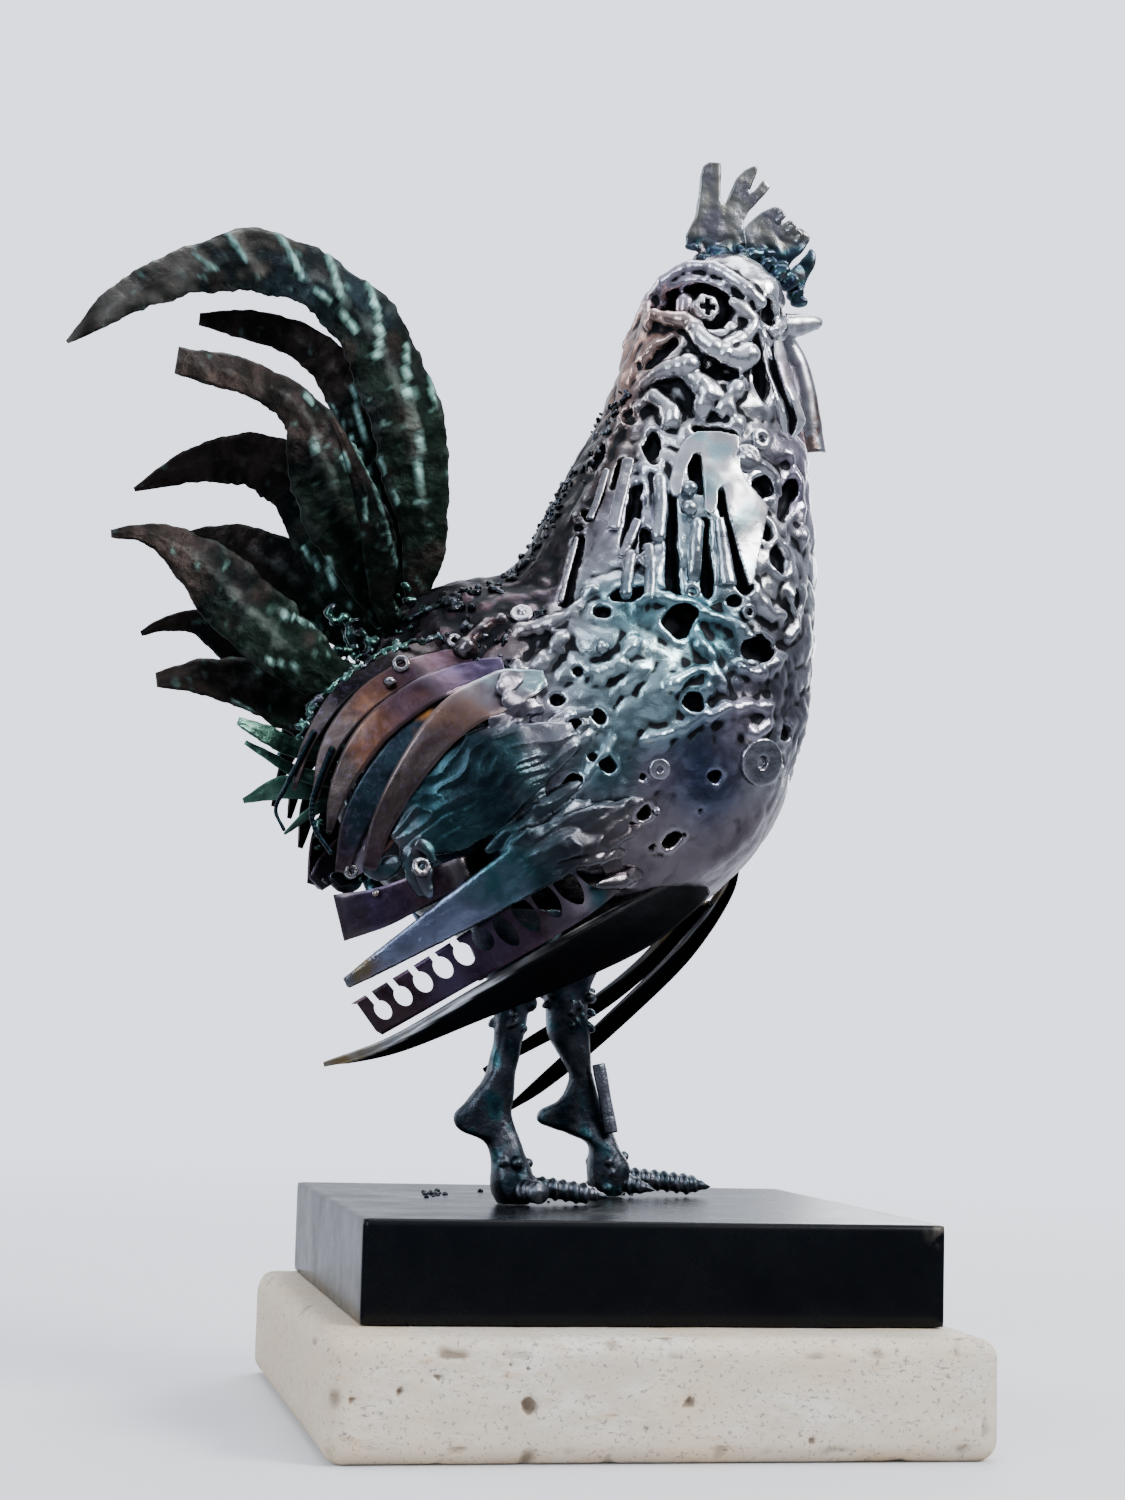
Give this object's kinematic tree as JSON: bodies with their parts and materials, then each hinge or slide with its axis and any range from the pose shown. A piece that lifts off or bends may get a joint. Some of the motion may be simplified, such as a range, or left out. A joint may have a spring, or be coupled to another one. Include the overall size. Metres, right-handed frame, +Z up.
{
  "type": "metal rooster sculpture",
  "caption": "Standing rooster welded from scrap steel, with sickle tail, layered wing blades and screw toes, on a black block and a travertine slab.",
  "frame": {"origin": "centre of the stone slab's underside", "axes": "+Z up; +X the way the rooster faces; +Y towards its left side"},
  "size_m": [0.3166, 0.236, 0.4771],
  "materials": {
    "travertine": "honed, tumbled edges, open pores",
    "black_lacquer": "satin black lacquer, worn corners",
    "molten_steel": "molten weld skin, silver at the head, copper and teal heat tints lower down",
    "plain_steel": "bare scrap steel, wire brushed",
    "heat_tinted_sheet": "sheet with purple, rust and teal heat tints",
    "black_blade": "black scale with a bright ground edge",
    "patina_sheet": "green-black patina with pale weld streaks",
    "blued_iron": "blue-black forged scale"
  },
  "bodies": {
    "root": {"beak_lower": "plain_steel", "beak_upper": "plain_steel", "black_block": "black_lacquer", "body": "molten_steel", "comb_fork": "plain_steel", "comb_notched": "plain_steel", "comb_pointed": "plain_steel", "hook_outer": "blued_iron", "hook_ribbed": "blued_iron", "left_blade_lower": "black_blade", "left_blade_upper": "black_blade", "left_eye": "plain_steel", "left_hackle": "plain_steel", "left_leg": "blued_iron", "left_shin_rod": "blued_iron", "left_toe_long": "blued_iron", "left_toe_short": "blued_iron", "left_wing_lobe": "heat_tinted_sheet", "left_wing_pointed_blade": "heat_tinted_sheet", "left_wing_shell": "heat_tinted_sheet", "left_wing_square_plate": "heat_tinted_sheet", "left_wing_strip_1": "heat_tinted_sheet", "left_wing_strip_2": "heat_tinted_sheet", "left_wing_strip_3": "heat_tinted_sheet", "left_wing_strip_4": "heat_tinted_sheet", "left_wing_strip_5": "heat_tinted_sheet", "right_eye": "plain_steel", "right_hackle": "plain_steel", "right_holed_blade": "heat_tinted_sheet", "right_leg": "blued_iron", "right_low_blade": "black_blade", "right_toe_long": "blued_iron", "right_toe_stub": "blued_iron", "right_wing_lobe": "heat_tinted_sheet", "right_wing_pointed_blade": "heat_tinted_sheet", "right_wing_shell": "heat_tinted_sheet", "right_wing_square_plate": "heat_tinted_sheet", "right_wing_strip_1": "heat_tinted_sheet", "right_wing_strip_2": "heat_tinted_sheet", "right_wing_strip_3": "heat_tinted_sheet", "right_wing_strip_4": "heat_tinted_sheet", "right_wing_strip_5": "heat_tinted_sheet", "tail_feather_10": "patina_sheet", "tail_feather_11": "patina_sheet", "tail_feather_12": "patina_sheet", "tail_feather_2": "patina_sheet", "tail_feather_3": "patina_sheet", "tail_feather_4": "patina_sheet", "tail_feather_5": "patina_sheet", "tail_feather_6": "patina_sheet", "tail_feather_7": "patina_sheet", "tail_feather_8": "patina_sheet", "tail_feather_9": "patina_sheet", "tail_leaf": "patina_sheet", "tail_sickle": "patina_sheet", "travertine_slab": "travertine", "wattle_left": "plain_steel", "wattle_right": "plain_steel"}
  },
  "joints": []
}
